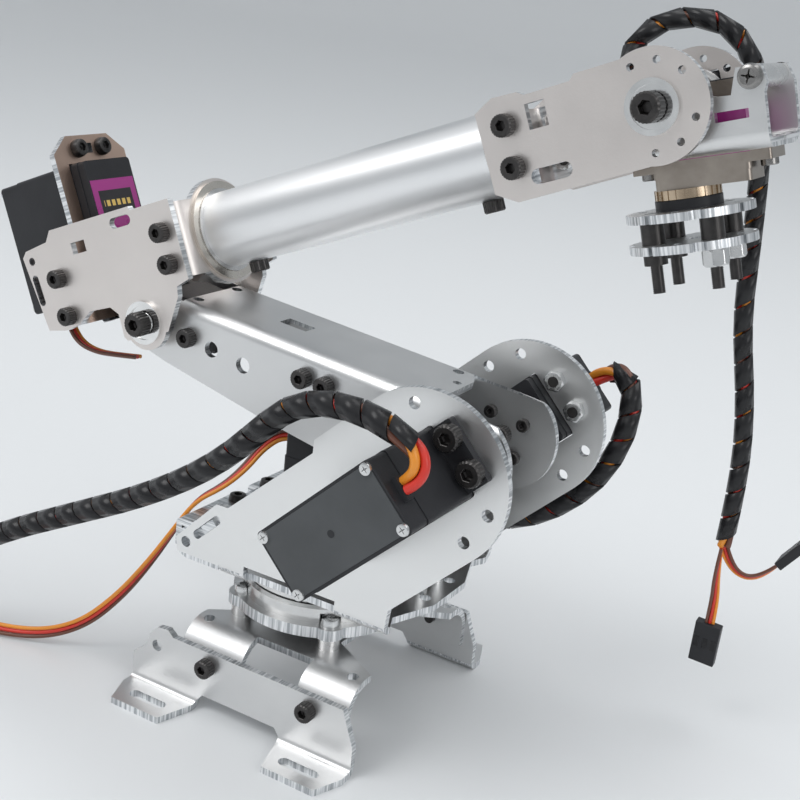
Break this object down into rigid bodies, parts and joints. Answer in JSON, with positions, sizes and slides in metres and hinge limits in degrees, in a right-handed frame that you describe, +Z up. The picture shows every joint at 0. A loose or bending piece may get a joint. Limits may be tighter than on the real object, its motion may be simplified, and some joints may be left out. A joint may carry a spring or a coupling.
{
  "type": "robot arm",
  "caption": "Desktop servo robot arm of bent aluminium sheet: yaw base, twin-servo shoulder, channel upper arm, rolling tube forearm, fork wrist and a bare lugged tool disc.",
  "frame": {"origin": "middle of the four foot slots, in the plane of the table", "axes": "+Z up, +X along the reach of the forearm, Y along the shoulder, elbow and wrist axes"},
  "size_m": [0.2801, 0.1294, 0.2049],
  "materials": {
    "sheet_metal": "bead-blasted sheet with bright cut edges",
    "turned_metal": "satin turned",
    "bearing_steel": "polished",
    "black_screws": "black oxide",
    "servo_black": "fine grained moulding",
    "servo_magenta": "black case with a magenta sticker",
    "brass": "dull",
    "wrap_black": "gloss spiral wrap",
    "wire_colours": "ribbon lead"
  },
  "bodies": {
    "base": {"foot_bracket_front": "sheet_metal", "foot_bracket_rear": "sheet_metal", "base_plate": "sheet_metal", "foot_bracket_screws": "black_screws", "turntable_disc": "sheet_metal", "turntable_standoffs": "black_screws", "turntable_lug_screws": "black_screws", "turntable_lower_race": "bearing_steel", "waist_servo_horn": "turned_metal"},
    "turret": {"turntable_upper_race": "bearing_steel", "turret_bracket": "sheet_metal", "waist_servo": "servo_black", "waist_servo_fixings": "black_screws", "shoulder_servo_front": "servo_black", "shoulder_servo_rear": "servo_black", "turret_screws": "black_screws", "turret_cross_plate": "sheet_metal", "shoulder_servo_lead": "wrap_black", "waist_servo_lead": "wire_colours", "shoulder_rear_lead": "wrap_black", "shoulder_rear_hank": "wrap_black"},
    "upper_arm": {"upper_arm_channel": "sheet_metal", "shoulder_horns": "turned_metal", "shoulder_horn_screws": "black_screws", "upper_arm_side_screws": "black_screws", "elbow_servo": "servo_black", "elbow_servo_post": "turned_metal", "elbow_pivot_screw": "black_screws"},
    "elbow_box": {"elbow_plate_front": "sheet_metal", "elbow_plate_rear": "sheet_metal", "elbow_box_screws": "black_screws", "elbow_pivot_bearing": "bearing_steel", "elbow_servo_horn": "turned_metal", "tube_end_plate": "sheet_metal", "tube_roll_bush": "servo_black", "roll_servo_plate": "sheet_metal", "roll_servo": "servo_black", "roll_servo_lead": "wire_colours"},
    "forearm": {"roll_servo_horn": "turned_metal", "roll_hub": "turned_metal", "forearm_tube": "turned_metal", "forearm_end_plug": "turned_metal", "fork_cross_plate": "sheet_metal", "fork_plate_front": "sheet_metal", "fork_plate_rear": "sheet_metal", "forearm_screws": "black_screws", "wrist_pivot_bearing": "bearing_steel", "wrist_servo": "servo_magenta", "wrist_lead": "wrap_black", "wrist_lead_tails": "wire_colours", "wrist_lead_plugs": "servo_black"},
    "wrist": {"wrist_bracket": "sheet_metal", "wrist_pivot_screw": "black_screws", "wrist_servo_horn": "turned_metal", "tool_servo": "servo_magenta", "wrist_bracket_screws": "black_screws", "tool_servo_gear_ring": "brass"},
    "tool_flange": {"tool_flange_discs": "sheet_metal", "tool_servo_horn": "servo_black", "tool_flange_bolts": "black_screws"}
  },
  "joints": [
    {"name": "waist_yaw", "type": "hinge", "parent": "base", "child": "turret", "pos_m": [0.0014, 0, 0.036], "axis": [0, 0, 1], "range_deg": [-90, 90]},
    {"name": "shoulder_pitch", "type": "hinge", "parent": "turret", "child": "upper_arm", "pos_m": [0.0472, 0, 0.08825], "axis": [0, 1, 0], "range_deg": [-12, 100]},
    {"name": "elbow_pitch", "type": "hinge", "parent": "upper_arm", "child": "elbow_box", "pos_m": [-0.05225, 0, 0.10382], "axis": [0, 1, 0], "range_deg": [-75, 15]},
    {"name": "forearm_roll", "type": "hinge", "parent": "elbow_box", "child": "forearm", "pos_m": [-0.06002, 0, 0.12225], "axis": [0.9215, 0, 0.3885], "range_deg": [-90, 90]},
    {"name": "wrist_pitch", "type": "hinge", "parent": "forearm", "child": "wrist", "pos_m": [0.0853, 0, 0.18352], "axis": [0, 1, 0], "range_deg": [-90, 50]},
    {"name": "flange_roll", "type": "hinge", "parent": "wrist", "child": "tool_flange", "pos_m": [0.0853, 0, 0.18352], "axis": [0.289, 0, -0.9573], "range_deg": [-90, 90]}
  ]
}
